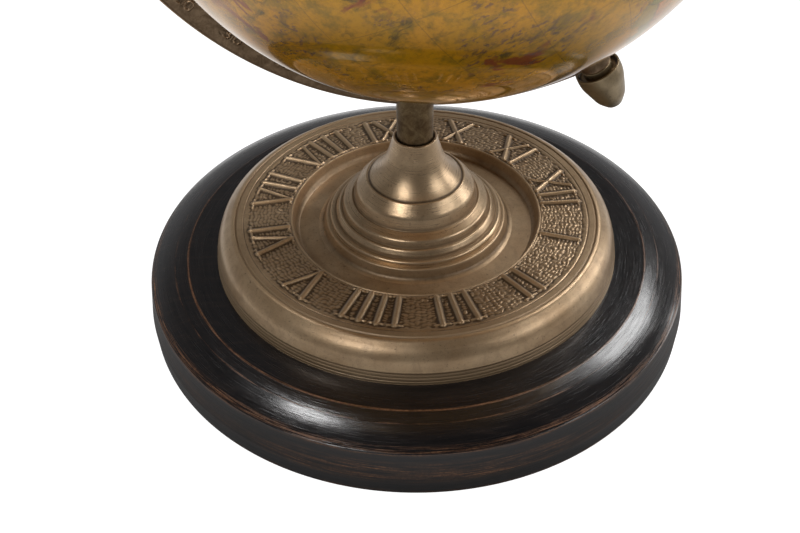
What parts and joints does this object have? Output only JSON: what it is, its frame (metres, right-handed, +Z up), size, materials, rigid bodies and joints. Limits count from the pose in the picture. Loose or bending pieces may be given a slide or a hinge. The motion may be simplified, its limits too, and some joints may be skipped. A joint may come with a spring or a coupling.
{
  "type": "desktop globe on stand",
  "caption": "Tabletop globe that spins in a half-ring meridian arm on a slim post, over a turned brass bell, a roman numeral dial plate and a black wooden base.",
  "frame": {"origin": "middle of the base on the surface it stands on, on the axis of the turned stand", "axes": "+Z up; +X towards the low south pole end of the globe's axis, which lies in the XZ plane; -Y towards the viewer"},
  "size_m": [0.2774, 0.268, 0.4162],
  "materials": {
    "felt": "pressed felt",
    "black_lacquered_wood": "black lacquer, gloss on top and satin on the side, rubbed through to red-brown wood on the edges",
    "cast_dial": "antique finish, turned shoulder and trough, stippled numeral band",
    "turned_pedestal": "antique finish, satin turned",
    "post_metal": "dark antique finish",
    "arm_metal": "dark antique finish with an engraved scale",
    "finial_metal": "antique finish, turned",
    "bright_steel": "zinc plated",
    "map_skin": "printed old-world map in tan, green and crimson under clear gloss",
    "inner_plastic": "moulded"
  },
  "bodies": {
    "stand": {"felt_pad": "felt", "wood_base": "black_lacquered_wood", "base_washer": "bright_steel", "base_nut": "bright_steel", "dial_plate": "cast_dial", "pedestal": "turned_pedestal", "post": "post_metal", "tie_rod": "bright_steel", "arm_pin": "post_metal", "meridian_arm": "arm_metal", "axis_rod": "bright_steel", "north_spacer": "finial_metal", "south_spacer": "finial_metal", "north_collar": "finial_metal", "south_collar": "finial_metal", "north_finial": "finial_metal", "south_finial": "finial_metal"},
    "globe": {"globe_north": "map_skin", "globe_south": "map_skin", "equator_ring": "inner_plastic", "north_bush": "inner_plastic", "south_bush": "inner_plastic"}
  },
  "joints": [
    {"name": "globe_spin", "type": "hinge", "parent": "stand", "child": "globe", "pos_m": [0.00918, 0, 0.262], "axis": [-0.4726, 0, 0.8813], "continuous": true}
  ]
}
